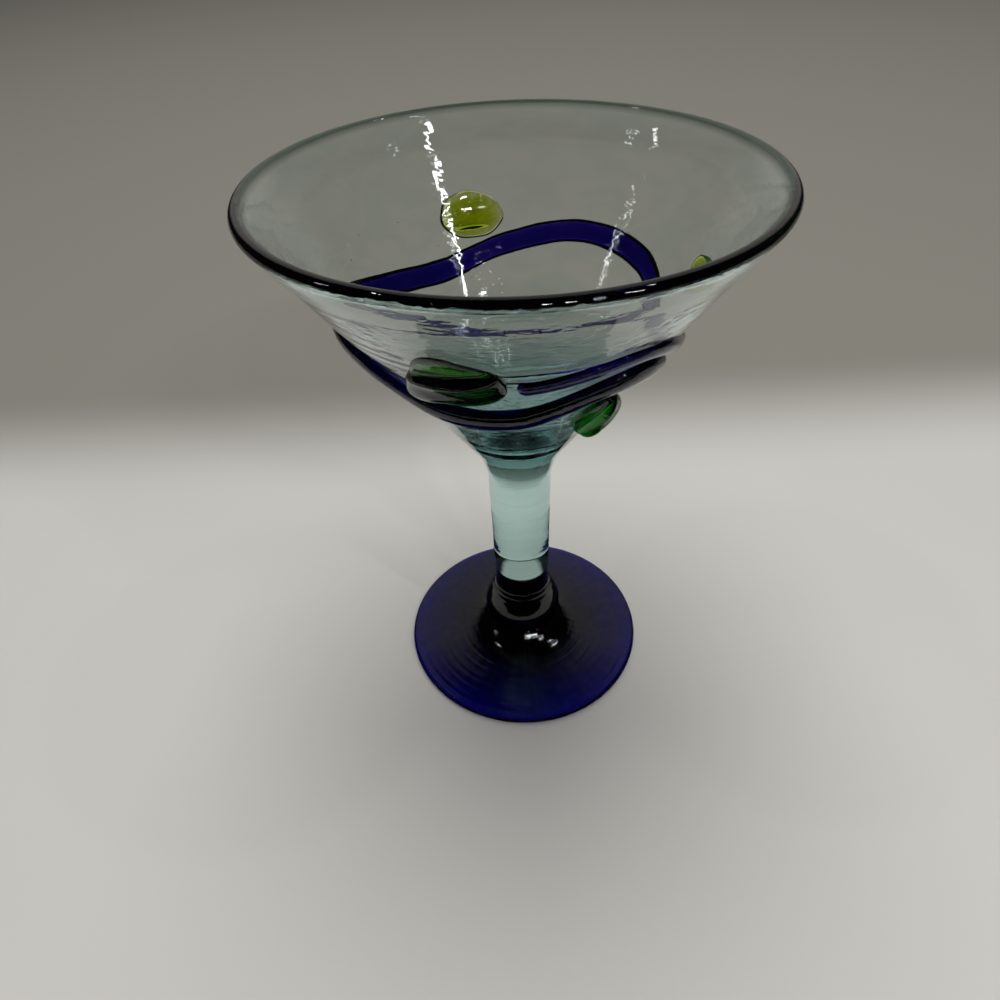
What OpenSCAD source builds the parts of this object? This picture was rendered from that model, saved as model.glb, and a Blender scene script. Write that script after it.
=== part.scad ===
// Hand-blown margarita glass, in millimetres.
// A flared bowl of pale glass stands on a solid rod stem, a cobalt knop and a cobalt foot.
// A cobalt trail is wound round the bowl, with four green leaves pressed on beside it.
// The origin is the centre of the foot's resting plane, with +Z up.

/* [Bowl] */
// Outside diameter over the lip
mouth_d = 135.2; // [120:0.1:156]
// Height of the bowl, from its joint on the stem to the top of the lip
bowl_h = 102; // [90:0.5:116]
// Thickness of the blown wall
wall_t = 2.6; // [1.8:0.1:3.2]
// Thickness of the fire-polished lip
lip_t = 3.6; // [3.4:0.1:5]
// Solid glass between the stem and the rounded bottom of the well
floor_t = 23.9; // [21:0.1:27]
// Radius of the rounded bottom of the well
well_r = 26; // [20:0.5:30]
// Radius of the sweep from the stem into the bowl
neck_blend_r = 30; // [10:0.5:36]

/* [Stem] */
// Diameter of the rod where the bowl sits on it
stem_top_d = 20.7; // [17:0.1:25]
// Diameter of the rod just above the knop
stem_base_d = 20.1; // [16:0.1:24]
// Length of the rod
stem_h = 37; // [28:0.5:50]
// Rounding of the rod's lower end
stem_round_r = 1.8; // [0.8:0.1:3]

/* [Knop] */
// Height of the knop, from the foot to the stem
knop_h = 27; // [22:0.5:34]
// Diameter at the knop's widest ring
knop_d = 28.5; // [25:0.1:34]
// Diameter of the collar under the stem
collar_d = 19.2; // [17:0.1:21]
// Diameter where the knop stands on the foot
hub_d = 23.2; // [20:0.1:25]
// Rounding of the collar's top edge
collar_round_r = 0.6; // [0.3:0.1:1]

/* [Foot] */
// Diameter of the foot
foot_d = 89; // [78:0.1:104]
// Height of the foot at its centre
foot_h = 12; // [9:0.1:16]
// Thickness of the foot's rounded edge
foot_edge_t = 2.8; // [2:0.1:4]
// Rise of the foot's shallow cone, without the sweep up to the knop
foot_cone_h = 5; // [3:0.1:7]
// Width of the flat ring that the glass rests on
rest_ring_w = 7; // [4:0.1:10]
// Height of the hollow under the foot
hollow_h = 3.2; // [1.5:0.1:5]
// Diameter of the scar where the pontil rod was broken off
pontil_d = 13; // [8:0.5:18]
// Depth of that scar
pontil_h = 0.8; // [0.4:0.1:1.2]

/* [Trail] */
// Width of the cobalt trail on the wall, where it is full
trail_w = 8.2; // [6:0.1:8.6]
// How far the trail stands proud of the wall
trail_proud = 3.5; // [2:0.1:4.5]

/* [Leaves] */
// Length of the round lime leaf at the back
lime_leaf_l = 20.8; // [15:0.1:25]
// Width of the lime leaf
lime_leaf_w = 14.4; // [9:0.1:16]
// Length of the long leaf at the front
long_leaf_l = 27.2; // [20:0.1:30]
// Width of the long leaf
long_leaf_w = 19.1; // [12:0.1:21]
// Length of the leaf that hangs below the trail
low_leaf_l = 18.8; // [14:0.1:22]
// Width of the hanging leaf
low_leaf_w = 11.6; // [9:0.1:14]
// Length of the leaf on the right-hand side
side_leaf_l = 26.5; // [18:0.1:29]
// Width of the side leaf
side_leaf_w = 9.6; // [7:0.1:12]
// How far the leaf that hangs below the trail stands proud of the wall
low_leaf_proud = 5.9; // [4:0.1:6.5]
// How far the long leaf stands proud of the wall
long_leaf_proud = 4.3; // [3:0.1:5]
// How far the lime leaf and the side leaf stand proud of the wall
flat_leaf_proud = 2.8; // [1.5:0.1:4]
// Thickness of a leaf at its edge
leaf_edge_t = 0.9; // [0.5:0.1:1.4]

/* [Hidden] */

// Film of space between the wall and what is pressed on it
seat_gap = 0.08;
// Steps round a full circle, and along one curved flank
round_steps = 128;
flank_steps = 14;
// One quarter, one half and one whole turn
quarter_angle = 90;
half_angle = 180;
full_angle = 360;

// Heights of the joints between the stacked pieces
knop_z = foot_h;
stem_z = knop_z + knop_h;
bowl_z = stem_z + stem_h;
rim_z = bowl_z + bowl_h;

// Radii of the stacked pieces
stem_top_r = stem_top_d / 2;
stem_base_r = stem_base_d / 2;
foot_r = foot_d / 2;
hub_r = hub_d / 2;
knop_r = knop_d / 2;
collar_r = collar_d / 2;

// Centres of the lip's bead and of the well's rounded bottom
lip_r = mouth_d / 2 - lip_t / 2;
lip_z = rim_z - lip_t / 2;
well_z = bowl_z + floor_t + well_r;
well_to_lip = norm([lip_r, lip_z - well_z]);
// Angle of the wall from the vertical: its middle runs from the well to the lip
flare = atan(lip_r / (lip_z - well_z)) - asin((well_r + wall_t / 2) / well_to_lip);
// Half of the wall's thickness, measured level
half_wall = wall_t / 2 / cos(flare);
// Height at which the outer wall would meet the rod, and the sweep between the two
neck_z = lip_z - (lip_r + half_wall - stem_top_r) / tan(flare);
neck_room_share = 0.85;
neck_blend = min(neck_blend_r, neck_room_share * (neck_z - bowl_z) / tan(flare / 2));
neck_run = neck_blend * tan(flare / 2);

// Outside radius of the wall at a height
function wall_r(z) = lip_r + half_wall - (lip_z - z) * tan(flare);

// A point on the wall: angle round the bowl, height, and distance out from the glass
function on_wall(angle, z, out) =
    let (r = wall_r(z) + out * cos(flare))
    [r * cos(angle), r * sin(angle), z - out * sin(flare)];

// Smooth curve through evenly spaced values, read at a place counted in spacings
function between(values, place) =
    let (last = len(values) - 1,
         i = min(floor(place), last - 1),
         t = place - i,
         a = values[max(i - 1, 0)],
         b = values[i],
         c = values[i + 1],
         d = values[min(i + 2, last)])
    b + t * ((c - a) + t * ((2 * a - 5 * b + 4 * c - d) + t * (3 * b - a - 3 * c + d))) / 2;

// The trail's course, clockwise from the right-hand side: one value for each 30 degrees,
// as its height over the bowl's joint in shares of the bowl's height, and its width in
// shares of the full width
trail_start_angle = -30;
trail_step_angle = 30;
trail_height_shares = [0.609, 0.659, 0.567, 0.565, 0.646, 0.673, 0.624, 0.599,
                       0.642, 0.68, 0.658, 0.589, 0.653, 0.75, 0.704];
trail_width_shares = [0.91, 0.98, 1.05, 1.01, 0.95, 0.99, 0.94, 0.88,
                      0.86, 0.86, 0.86, 0.84, 0.76, 0.58, 0.57];
// Where the glass was first touched down and where it was pulled off, as angles wound
trail_first_angle = 7.5;
trail_last_angle = 422.4;
trail_rings = 120;
trail_sides = 8;

function trail_angle(wound) = trail_start_angle - wound;
function trail_z(wound) =
    bowl_z + bowl_h * between(trail_height_shares, wound / trail_step_angle);
function trail_width(wound) =
    trail_w * between(trail_width_shares, wound / trail_step_angle);
// Distance along the trail from one angle to another, by the radius at the first
function trail_reach(a, b) = abs(a - b) * PI / half_angle * wall_r(trail_z(a));
// The ends are rounded off over half the trail's width, down to this share of it
trail_end_share = 0.2;
function trail_round(wound) =
    let (room = min(trail_reach(wound, trail_first_angle),
                    trail_reach(wound, trail_last_angle)),
         t = min(room / (trail_width(wound) / 2), 1))
    max(sqrt(1 - pow(1 - t, 2)), trail_end_share);
// Rings are closer together near both ends
trail_even_share = 0.8;
function trail_wound(i) =
    let (t = i / trail_rings,
         ease = (1 - cos(half_angle * t)) / 2)
    trail_first_angle + (trail_last_angle - trail_first_angle)
        * (trail_even_share * t + (1 - trail_even_share) * ease);

// Points of an arc, for an outline
function arc(centre, r, from, to) =
    [for (i = [0 : flank_steps])
        let (a = from + (to - from) * i / flank_steps)
        centre + r * [cos(a), sin(a)]];

// Reach of a leaf's outline at an angle, from one share for each step of the turn
leaf_step_angle = 30;
function outline_reach(shares, a) =
    let (place = a / leaf_step_angle,
         start = floor(place),
         count = len(shares))
    between([for (k = [count - 1 : count + 2]) shares[(start + k) % count]],
            1 + place - start);

// Edge of a leaf: length, width, and outline in shares of half of each
function leaf_edge(l, w, outline_shares, a) =
    let (reach = outline_reach(outline_shares, a))
    [l / 2 * cos(a) * reach, w / 2 * sin(a) * reach];

module revolve() {
    rotate_extrude($fn = round_steps)
        children();
}

// Clear bowl: one gather, blown, flared and fire-polished, and solid in its lowest quarter.
// Its outline runs up the outside, over the lip's bead and down into the well
lip_turn_angle = acos(wall_t / lip_t);
lip_top_angle = quarter_angle - flare;

module bowl() {
    color([0.80, 0.87, 0.86, 0.45])
        revolve()
            polygon(concat(
                [[0, bowl_z], [stem_top_r, bowl_z]],
                arc([stem_top_r + neck_blend, neck_z - neck_run], neck_blend,
                    half_angle, half_angle - flare),
                arc([lip_r, lip_z], lip_t / 2, -flare - lip_turn_angle, lip_top_angle),
                arc([lip_r, lip_z], lip_t / 2, lip_top_angle + quarter_angle / flank_steps,
                    half_angle - flare + lip_turn_angle),
                arc([0, well_z], well_r, -flare, -quarter_angle)));
}

// Pale aqua rod that carries the bowl, its lower end rounded where it meets the knop
module stem() {
    color([0.68, 0.82, 0.80, 0.6])
        revolve()
            polygon(concat(
                [[0, stem_z]],
                arc([stem_base_r - stem_round_r, stem_z + stem_round_r], stem_round_r,
                    -quarter_angle, 0),
                [[stem_top_r, bowl_z], [0, bowl_z]]));
}

// Cobalt knop: a squat ring drawn up to a narrow collar
knop_ring_share = 0.27;
knop_flank_share = 0.42;
knop_flank_power = 1.4;

function knop_lower(t) =
    [hub_r + (knop_r - hub_r) * sin(quarter_angle * t),
     knop_z + knop_h * knop_ring_share * (1 - cos(quarter_angle * t))];
function knop_upper(t) =
    [collar_r + (knop_r - collar_r) * pow((1 + cos(half_angle * t)) / 2, knop_flank_power),
     knop_z + knop_h * (knop_ring_share + knop_flank_share * t)];

module knop() {
    color([0.06, 0.06, 0.42, 0.9])
        revolve()
            polygon(concat(
                [[0, knop_z]],
                [for (i = [0 : flank_steps]) knop_lower(i / flank_steps)],
                [for (i = [1 : flank_steps]) knop_upper(i / flank_steps)],
                arc([collar_r - collar_round_r, stem_z - collar_round_r], collar_round_r,
                    0, quarter_angle),
                [[0, stem_z]]));
}

// Cobalt foot: a shallow cone with a rounded edge, hollowed underneath
foot_sweep_power = 8;
foot_edge_r = foot_edge_t / 2;
foot_edge_in = foot_r - foot_edge_r;

function foot_top(t) =
    [foot_edge_in - (foot_edge_in - hub_r) * t,
     foot_edge_t + foot_cone_h * t
        + (foot_h - foot_edge_t - foot_cone_h) * pow(t, foot_sweep_power)];
function foot_hollow(t) =
    let (reach = foot_edge_in - rest_ring_w)
    [pontil_d / 2 + (reach - pontil_d / 2) * t, hollow_h * (1 - pow(t, 2))];

module foot() {
    color([0.05, 0.05, 0.50, 0.9])
        revolve()
            polygon(concat(
                arc([foot_edge_in, foot_edge_r], foot_edge_r, -quarter_angle, quarter_angle),
                [for (i = [1 : 2 * flank_steps]) foot_top(i / (2 * flank_steps))],
                [[0, foot_h], [0, hollow_h + pontil_h], [pontil_d / 2, hollow_h + pontil_h]],
                [for (i = [0 : flank_steps]) foot_hollow(i / flank_steps)]));
}

// Cobalt trail: one thread of hot glass laid on the turning bowl, crossing above its start
function trail_ring(wound) =
    let (size = trail_round(wound),
         w = trail_width(wound) * size,
         h = trail_proud * trail_width(wound) / trail_w * size)
    [for (j = [0 : trail_sides])
        let (a = half_angle * j / trail_sides)
        on_wall(trail_angle(wound), trail_z(wound) + w / 2 * cos(a) * cos(flare),
                seat_gap + h * sin(a))];

module trail() {
    ring = trail_sides + 1;
    points = [for (i = [0 : trail_rings]) each trail_ring(trail_wound(i))];
    skin = [for (i = [0 : trail_rings - 1], j = [0 : ring - 1])
        let (k = (j + 1) % ring, a = i * ring, b = a + ring)
        each [[a + j, b + j, b + k], [a + j, b + k, a + k]]];
    first_end = [for (j = [1 : ring - 2]) [0, j, j + 1]];
    last_end = [for (j = [1 : ring - 2])
        let (a = trail_rings * ring)
        [a, a + j + 1, a + j]];
    color([0.05, 0.05, 0.45, 0.9])
        polyhedron(points, concat(skin, first_end, last_end));
}

// A leaf: a bit of hot green glass pressed on the wall and creased with a tool.
// wound is where it sits along the trail, side is 1 above the trail and -1 below it,
// space is the wall left bare between the two, and lean turns its length from level.
// flap_shares is how thick its upper flap is left, and where across the width it starts
leaf_rings = 6;
leaf_seat_rings = 4;
leaf_steps = 36;
crease_share = 0.24;
crease_power = 4;
flap_run_share = 0.3;

module leaf(wound, side, space, lean, l, w, proud, outline_shares, creases, flap_shares,
            swell_power) {
    across = norm([l / 2 * sin(lean), w / 2 * cos(lean)]);
    reach = trail_width(wound) / 2 + space + across;
    centre_z = trail_z(wound) + side * reach * cos(flare);
    centre_angle = trail_angle(wound);

    // A place on the leaf, pressed round the wall, at a distance out from the glass
    function pressed(a, ring, out) =
        let (p = leaf_edge(l, w, outline_shares, a) * ring,
             up = p[0] * sin(lean) + p[1] * cos(lean),
             along = p[0] * cos(lean) - p[1] * sin(lean),
             z = centre_z + up * cos(flare))
        on_wall(centre_angle + along / wall_r(z) * half_angle / PI, z, seat_gap + out);
    function crease(y) =
        1 - crease_share * pow(cos(half_angle * creases * y / w), crease_power);
    function flap(y) =
        let (t = min(max((2 * y / w - flap_shares[1]) / flap_run_share, 0), 1))
        1 - (1 - flap_shares[0]) * t * t * (3 - 2 * t);
    function swell(a, ring) =
        let (y = leaf_edge(l, w, outline_shares, a)[1] * ring)
        leaf_edge_t
            + (proud - leaf_edge_t) * pow(1 - pow(ring, 2), swell_power) * crease(y) * flap(y);

    top = [for (i = [1 : leaf_rings], j = [0 : leaf_steps - 1])
        let (a = full_angle * j / leaf_steps, ring = i / leaf_rings)
        pressed(a, ring, swell(a, ring))];
    seat = [for (i = [leaf_seat_rings : -1 : 1], j = [0 : leaf_steps - 1])
        pressed(full_angle * j / leaf_steps, i / leaf_seat_rings, 0)];
    rows = leaf_rings + leaf_seat_rings;
    points = concat(top, seat, [pressed(0, 0, swell(0, 0)), pressed(0, 0, 0)]);
    skin = [for (i = [0 : rows - 2], j = [0 : leaf_steps - 1])
        let (k = (j + 1) % leaf_steps, a = i * leaf_steps, b = a + leaf_steps)
        each [[a + j, b + k, b + j], [a + j, a + k, b + k]]];
    crown = [for (j = [0 : leaf_steps - 1])
        [rows * leaf_steps, (j + 1) % leaf_steps, j]];
    back = [for (j = [0 : leaf_steps - 1])
        let (a = (rows - 1) * leaf_steps)
        [rows * leaf_steps + 1, a + j, a + (j + 1) % leaf_steps]];
    polyhedron(points, concat(skin, crown, back));
}

// A thick leaf keeps its full depth nearly to its edge, and a flat one slopes down to it
thick_swell_power = 0.35;
flat_swell_power = 0.7;
no_flap_shares = [1, 1];

// Round lime leaf at the back, pressed flat with three grooves
lime_wound_angle = 226.5;
lime_space = 1.7;
lime_lean_angle = 4;
lime_outline_shares = [1, 1, 1, 0.98, 0.98, 0.98, 1, 1, 1.02, 1.02, 1.04, 1.03];
lime_creases = 3;

module lime_leaf() {
    color([0.55, 0.62, 0.08, 0.9])
        leaf(lime_wound_angle, 1, lime_space, lime_lean_angle, lime_leaf_l, lime_leaf_w,
             flat_leaf_proud, lime_outline_shares, lime_creases, no_flap_shares,
             flat_swell_power);
}

// Long leaf at the front left: a thick tongue, with a thin flap left above it
long_wound_angle = 78.9;
long_space = 5.9;
long_lean_angle = 13;
long_outline_shares = [0.9, 0.91, 0.94, 1.2, 0.96, 0.82, 0.95, 1.2, 0.83, 0.82, 0.91, 0.96];
long_flap_shares = [0.25, 0.4];
long_creases = 1;

module long_leaf() {
    color([0.05, 0.22, 0.06, 0.9])
        leaf(long_wound_angle, 1, long_space, long_lean_angle, long_leaf_l, long_leaf_w,
             long_leaf_proud, long_outline_shares, long_creases, long_flap_shares,
             thick_swell_power);
}

// Thick leaf that hangs below the trail at the front right
low_wound_angle = 28.4;
low_space = 6.6;
low_lean_angle = 74;
low_outline_shares = [1.02, 1.06, 1.1, 1.07, 0.84, 0.82, 0.91, 1.2, 0.86, 0.82, 0.88, 0.98];
low_flap_shares = [0.45, 0.1];
low_creases = 1;

module low_leaf() {
    color([0.08, 0.40, 0.10, 0.9])
        leaf(low_wound_angle, -1, low_space, low_lean_angle, low_leaf_l, low_leaf_w,
             low_leaf_proud, low_outline_shares, low_creases, low_flap_shares,
             thick_swell_power);
}

// Narrow leaf on the right-hand side, lying along the trail
side_wound_angle = 341.5;
side_space = 6.2;
side_lean_angle = 8;
side_outline_shares = [1, 1, 1, 1, 1, 1, 1, 1, 1, 1, 1, 1];
side_creases = 1;

module side_leaf() {
    color([0.45, 0.52, 0.08, 0.9])
        leaf(side_wound_angle, 1, side_space, side_lean_angle, side_leaf_l, side_leaf_w,
             flat_leaf_proud, side_outline_shares, side_creases, no_flap_shares,
             flat_swell_power);
}

bowl();
stem();
knop();
foot();
trail();
lime_leaf();
long_leaf();
low_leaf();
side_leaf();
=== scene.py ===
"""Hand-blown margarita glass: a pale flared bowl on a rod stem, with a cobalt knop and foot,
a cobalt trail wound round the bowl, and four green leaves pressed on beside it."""

import math

import bpy
import numpy as np
from mathutils import Matrix, Vector


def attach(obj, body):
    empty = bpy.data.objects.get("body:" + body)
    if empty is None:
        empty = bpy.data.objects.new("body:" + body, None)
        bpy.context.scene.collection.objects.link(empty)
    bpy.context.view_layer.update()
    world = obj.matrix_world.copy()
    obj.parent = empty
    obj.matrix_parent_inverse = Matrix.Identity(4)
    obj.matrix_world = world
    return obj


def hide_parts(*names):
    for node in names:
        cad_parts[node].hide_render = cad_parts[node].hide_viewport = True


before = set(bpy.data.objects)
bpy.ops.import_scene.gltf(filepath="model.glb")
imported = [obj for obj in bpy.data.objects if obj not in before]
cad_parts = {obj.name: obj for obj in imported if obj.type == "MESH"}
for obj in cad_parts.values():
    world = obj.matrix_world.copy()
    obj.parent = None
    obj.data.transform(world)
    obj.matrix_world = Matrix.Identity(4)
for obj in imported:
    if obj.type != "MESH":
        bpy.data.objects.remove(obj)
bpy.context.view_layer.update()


# ---- Foot ----
# A gob of cobalt soda-lime glass, dropped on the marver and pressed out flat while it turned.
# It is thick at the middle and thin at the edge, so it goes from near black to bright cobalt, and
# painted shade darkens it further toward the hub.

mm = 0.001
foot_r = 44.5 * mm
foot_h = 12 * mm
foot_edge_r = 1.4 * mm
foot_cone_h = 5 * mm
foot_hub_r = 11.6 * mm
foot_ring_w = 7 * mm
foot_hollow_h = 3.2 * mm
pontil_r = 6.5 * mm
pontil_h = 0.8 * mm
# Pieces that meet are kept this far apart, so that no two faces lie in one plane
joint_film = 0.03 * mm


def smooth_step(low, high, x):
    t = np.clip((x - low) / (high - low), 0, 1)
    return t * t * (3 - 2 * t)


def arc(centre, radius, start, end, steps):
    """Points of an arc of an outline, as (distance from the axis, height)."""
    turn = np.radians(np.linspace(start, end, steps + 1))
    return [(centre[0] + radius * math.cos(a), centre[1] + radius * math.sin(a)) for a in turn]


def turned(name, outline, wobble=None, steps=160):
    """A closed outline, spun round the axis. Its first and last points lie on the axis."""
    outline = np.array(outline, float)
    ring = np.arange(steps) * 2 * math.pi / steps
    body = outline[1:-1]
    reach = np.repeat(body[:, 0][:, None], steps, 1)
    height = np.repeat(body[:, 1][:, None], steps, 1)
    if wobble is not None:
        reach, height = wobble(reach, height, np.repeat(ring[None, :], len(body), 0))
    points = np.stack([reach * np.cos(ring), reach * np.sin(ring), height], -1).reshape(-1, 3)
    points = [(0, 0, outline[0][1])] + points.tolist() + [(0, 0, outline[-1][1])]
    faces = []
    for j in range(steps):
        k = (j + 1) % steps
        faces.append((0, 1 + k, 1 + j))
        for i in range(len(body) - 1):
            a, b = 1 + i * steps, 1 + (i + 1) * steps
            faces.append((a + j, a + k, b + k, b + j))
        last = 1 + (len(body) - 1) * steps
        faces.append((last + j, last + k, len(points) - 1))
    mesh = bpy.data.meshes.new(name)
    mesh.from_pydata(points, [], faces)
    mesh.shade_smooth()
    mesh.set_sharp_from_angle(angle=math.radians(50))
    piece = bpy.data.objects.new(name, mesh)
    bpy.context.scene.collection.objects.link(piece)
    return piece


def linear(hex_colour):
    """A colour as it is written for a screen, turned to the linear one that a shader needs."""
    parts = [int(hex_colour[i:i + 2], 16) / 255 for i in (1, 3, 5)]
    return tuple(c / 12.92 if c <= 0.04045 else ((c + 0.055) / 1.055) ** 2.4 for c in parts) + (1,)


def add(tree, kind, sockets=None, **settings):
    """Adds a node with its settings, and fills its sockets with values or links."""
    node = tree.nodes.new(kind)
    for key, value in settings.items():
        setattr(node, key, value)
    for key, value in (sockets or {}).items():
        if isinstance(value, bpy.types.NodeSocket):
            tree.links.new(value, node.inputs[key])
        else:
            node.inputs[key].default_value = value
    return node


soda_lime_ior = 1.51


def blown_glass(name, takes_per_m, wave_mm, wave_h_mm, streaks, streak_mm, joined=False,
                chill_mm=2.6, chill_h_mm=0.012, marks=None, painted_darkening=None):
    """Blown soda-lime glass. takes_per_m is how much of each colour a metre of it takes away.
    Slow waves come from gathering and turning it, chill marks from the tools, and streaks
    tint it unevenly. marks adds the height of other tool marks, in metres. A darkening given
    as the last argument multiplies the tint: painted shade on the foot's hub, and a painted
    tint for long light paths in the bowl's funnel and lip."""
    made = bpy.data.materials.new(name)
    made.use_nodes = True
    tree = made.node_tree
    tree.nodes.clear()
    place = add(tree, "ShaderNodeTexCoord").outputs["Object"]
    # Waves run round the piece, so the pattern is drawn out level and squeezed in height
    laid = add(tree, "ShaderNodeMapping", {"Vector": place, "Scale": (1, 1, 2.4)})
    waves = add(tree, "ShaderNodeTexNoise", {
        "Vector": laid.outputs[0], "Scale": 1 / (wave_mm * mm), "Detail": 2.0,
        "Roughness": 0.45})
    # A finer skin of chill marks
    chill = add(tree, "ShaderNodeTexNoise", {
        "Vector": laid.outputs[0], "Scale": 1 / (chill_mm * mm), "Detail": 1.0})
    slow = add(tree, "ShaderNodeMath", {0: waves.outputs["Fac"], 1: wave_h_mm * mm},
               operation="MULTIPLY")
    both = add(tree, "ShaderNodeMath", {
        0: chill.outputs["Fac"], 1: chill_h_mm * mm, 2: slow.outputs[0]},
        operation="MULTIPLY_ADD")
    height = both.outputs[0]
    if marks:
        height = add(tree, "ShaderNodeMath", {0: height, 1: marks(tree, place)},
                     operation="ADD").outputs[0]
    skin = add(tree, "ShaderNodeBump", {"Height": height, "Distance": 1.0, "Strength": 1.0})
    cords = add(tree, "ShaderNodeTexNoise", {
        "Vector": laid.outputs[0], "Scale": 1 / (streak_mm * mm), "Detail": 3.0,
        "Distortion": 1.2})
    tint = add(tree, "ShaderNodeValToRGB", {"Fac": cords.outputs["Fac"]})
    tint.color_ramp.elements[0].position = 0.35
    tint.color_ramp.elements[0].color = linear(streaks[0])
    tint.color_ramp.elements[1].position = 0.68
    tint.color_ramp.elements[1].color = linear(streaks[1])
    colour = tint.outputs["Color"]
    # Painted shade and painted light-path tint, multiplied into the surface tint
    if painted_darkening:
        colour = add(tree, "ShaderNodeMix", {0: 1.0, 6: colour, 7: painted_darkening(tree, place)},
                     data_type="RGBA", blend_type="MULTIPLY").outputs[2]
    glass = add(tree, "ShaderNodeBsdfPrincipled", {
        "Base Color": colour, "Roughness": 0.0, "IOR": soda_lime_ior,
        "Transmission Weight": 1.0, "Normal": skin.outputs["Normal"]})
    surface = glass.outputs[0]
    if joined:
        # Where two pieces were joined hot no face is left, so light goes straight on
        seam = add(tree, "ShaderNodeAttribute", attribute_name="joined")
        straight = add(tree, "ShaderNodeBsdfTransparent")
        surface = add(tree, "ShaderNodeMixShader", {
            "Fac": seam.outputs["Fac"], 1: surface, 2: straight.outputs[0]}).outputs[0]
    most = max(takes_per_m)
    depth = add(tree, "ShaderNodeVolumeAbsorption", {
        "Color": tuple(1 - t / most for t in takes_per_m) + (1,), "Density": most})
    add(tree, "ShaderNodeOutputMaterial", {"Surface": surface, "Volume": depth.outputs[0]})
    return made


def finish_piece(piece, material, slot, *nodes):
    piece.data.materials.clear()
    piece.data.materials.append(material)
    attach(piece, "root")
    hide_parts(*nodes)


foot_in = foot_r - foot_edge_r
foot_outline = [(0, foot_hollow_h + pontil_h), (pontil_r - 0.5 * mm, foot_hollow_h + pontil_h)]
for t in np.linspace(0, 1, 25):
    reach_in = foot_in - foot_ring_w
    foot_outline.append((pontil_r + (reach_in - pontil_r) * t, foot_hollow_h * (1 - t * t)))
foot_outline += arc((foot_in, foot_edge_r), foot_edge_r, -90, 90, 18)
for t in np.linspace(0, 1, 61)[1:]:
    rise = foot_cone_h * t + (foot_h - 2 * foot_edge_r - foot_cone_h) * t ** 8
    foot_outline.append((foot_in - (foot_in - foot_hub_r) * t, 2 * foot_edge_r + rise))
foot_outline[-1] = (foot_hub_r, foot_h - joint_film)
foot_outline.append((0, foot_h - joint_film))


def pressed_rings(reach, height, ring):
    """Faint rings on the foot's top, left by the pad as it turned, and a slightly uneven edge."""
    top = smooth_step(2.2 * mm, 3.2 * mm, height) * smooth_step(12 * mm, 16 * mm, reach)
    ripple = 0.012 * mm * np.sin(reach / (2.9 * mm) * 2 * math.pi + 0.5 * np.sin(3 * ring))
    ripple += 0.012 * mm * np.sin(reach / (1.7 * mm) * 2 * math.pi + 0.8 * np.sin(2 * ring + 1))
    edge = smooth_step(30 * mm, foot_r, reach)
    return reach - edge * 0.12 * mm * (1 + np.cos(3 * ring + 0.7)), height - top * (
        0.08 * mm + ripple)


def pressed_marks(tree, place):
    """Folds that run out from the middle where the gob spread, crossed by fine turning rings."""
    spot = add(tree, "ShaderNodeSeparateXYZ", {0: place})
    level = add(tree, "ShaderNodeCombineXYZ", {"X": spot.outputs["X"], "Y": spot.outputs["Y"]})
    outward = add(tree, "ShaderNodeVectorMath", {0: level.outputs[0]}, operation="NORMALIZE")
    reach = add(tree, "ShaderNodeVectorMath", {0: level.outputs[0]}, operation="LENGTH")
    folds = add(tree, "ShaderNodeTexNoise", {
        "Vector": outward.outputs[0], "Scale": 9.0, "Detail": 3.0, "Roughness": 0.6})
    turns = add(tree, "ShaderNodeMath", {
        0: reach.outputs["Value"], 1: 2 * math.pi / (1.3 * mm), 2: folds.outputs["Fac"]},
        operation="MULTIPLY_ADD")
    rings = add(tree, "ShaderNodeMath", {0: turns.outputs[0]}, operation="SINE")
    # The rings are deepest at the front right, where the tool came off
    tool = add(tree, "ShaderNodeVectorMath", {0: outward.outputs[0], 1: (0.4, -0.92, 0)},
               operation="DOT_PRODUCT")
    deep = add(tree, "ShaderNodeMapRange", {
        "Value": tool.outputs["Value"], "From Min": 0.8, "From Max": 1.0,
        "To Min": 0.001 * mm, "To Max": 0.014 * mm})
    low = add(tree, "ShaderNodeMath", {0: rings.outputs[0], 1: deep.outputs["Result"]},
              operation="MULTIPLY")
    return add(tree, "ShaderNodeMath", {
        0: folds.outputs["Fac"], 1: 0.10 * mm, 2: low.outputs[0]},
        operation="MULTIPLY_ADD").outputs[0]


def painted_hub_shade(tree, place):
    """Painted shade: darkens the tint toward the hub, where little light gets under the thick
    middle of the foot, and leaves it clear cobalt at the edge.
    """
    spot = add(tree, "ShaderNodeSeparateXYZ", {0: place})
    level = add(tree, "ShaderNodeCombineXYZ", {"X": spot.outputs["X"], "Y": spot.outputs["Y"]})
    reach = add(tree, "ShaderNodeVectorMath", {0: level.outputs[0]}, operation="LENGTH")
    out = add(tree, "ShaderNodeMapRange", {
        "Value": reach.outputs["Value"], "From Min": 16 * mm, "From Max": 43 * mm,
        "To Min": -0.12, "To Max": 0.88})
    # Faint streaks that run outward make the edge of the painted shade uneven, as the gob spread
    # unevenly
    outward = add(tree, "ShaderNodeVectorMath", {0: level.outputs[0]}, operation="NORMALIZE")
    streaks = add(tree, "ShaderNodeTexNoise", {
        "Vector": outward.outputs[0], "Scale": 16.0, "Detail": 4.0, "Roughness": 0.7})
    uneven = add(tree, "ShaderNodeMath", {
        0: streaks.outputs["Fac"], 1: 0.3, 2: out.outputs["Result"]}, operation="MULTIPLY_ADD")
    # Painted shade: near black round the hub, fading to no darkening at the edge
    hub_shade_ramp = add(tree, "ShaderNodeValToRGB", {"Fac": uneven.outputs[0]})
    hub_shade_ramp.color_ramp.elements[0].color = linear("#18182c")
    hub_shade_ramp.color_ramp.elements[1].color = linear("#ffffff")
    return hub_shade_ramp.outputs["Color"]


foot = turned("foot_cobalt", foot_outline, pressed_rings)
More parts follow.
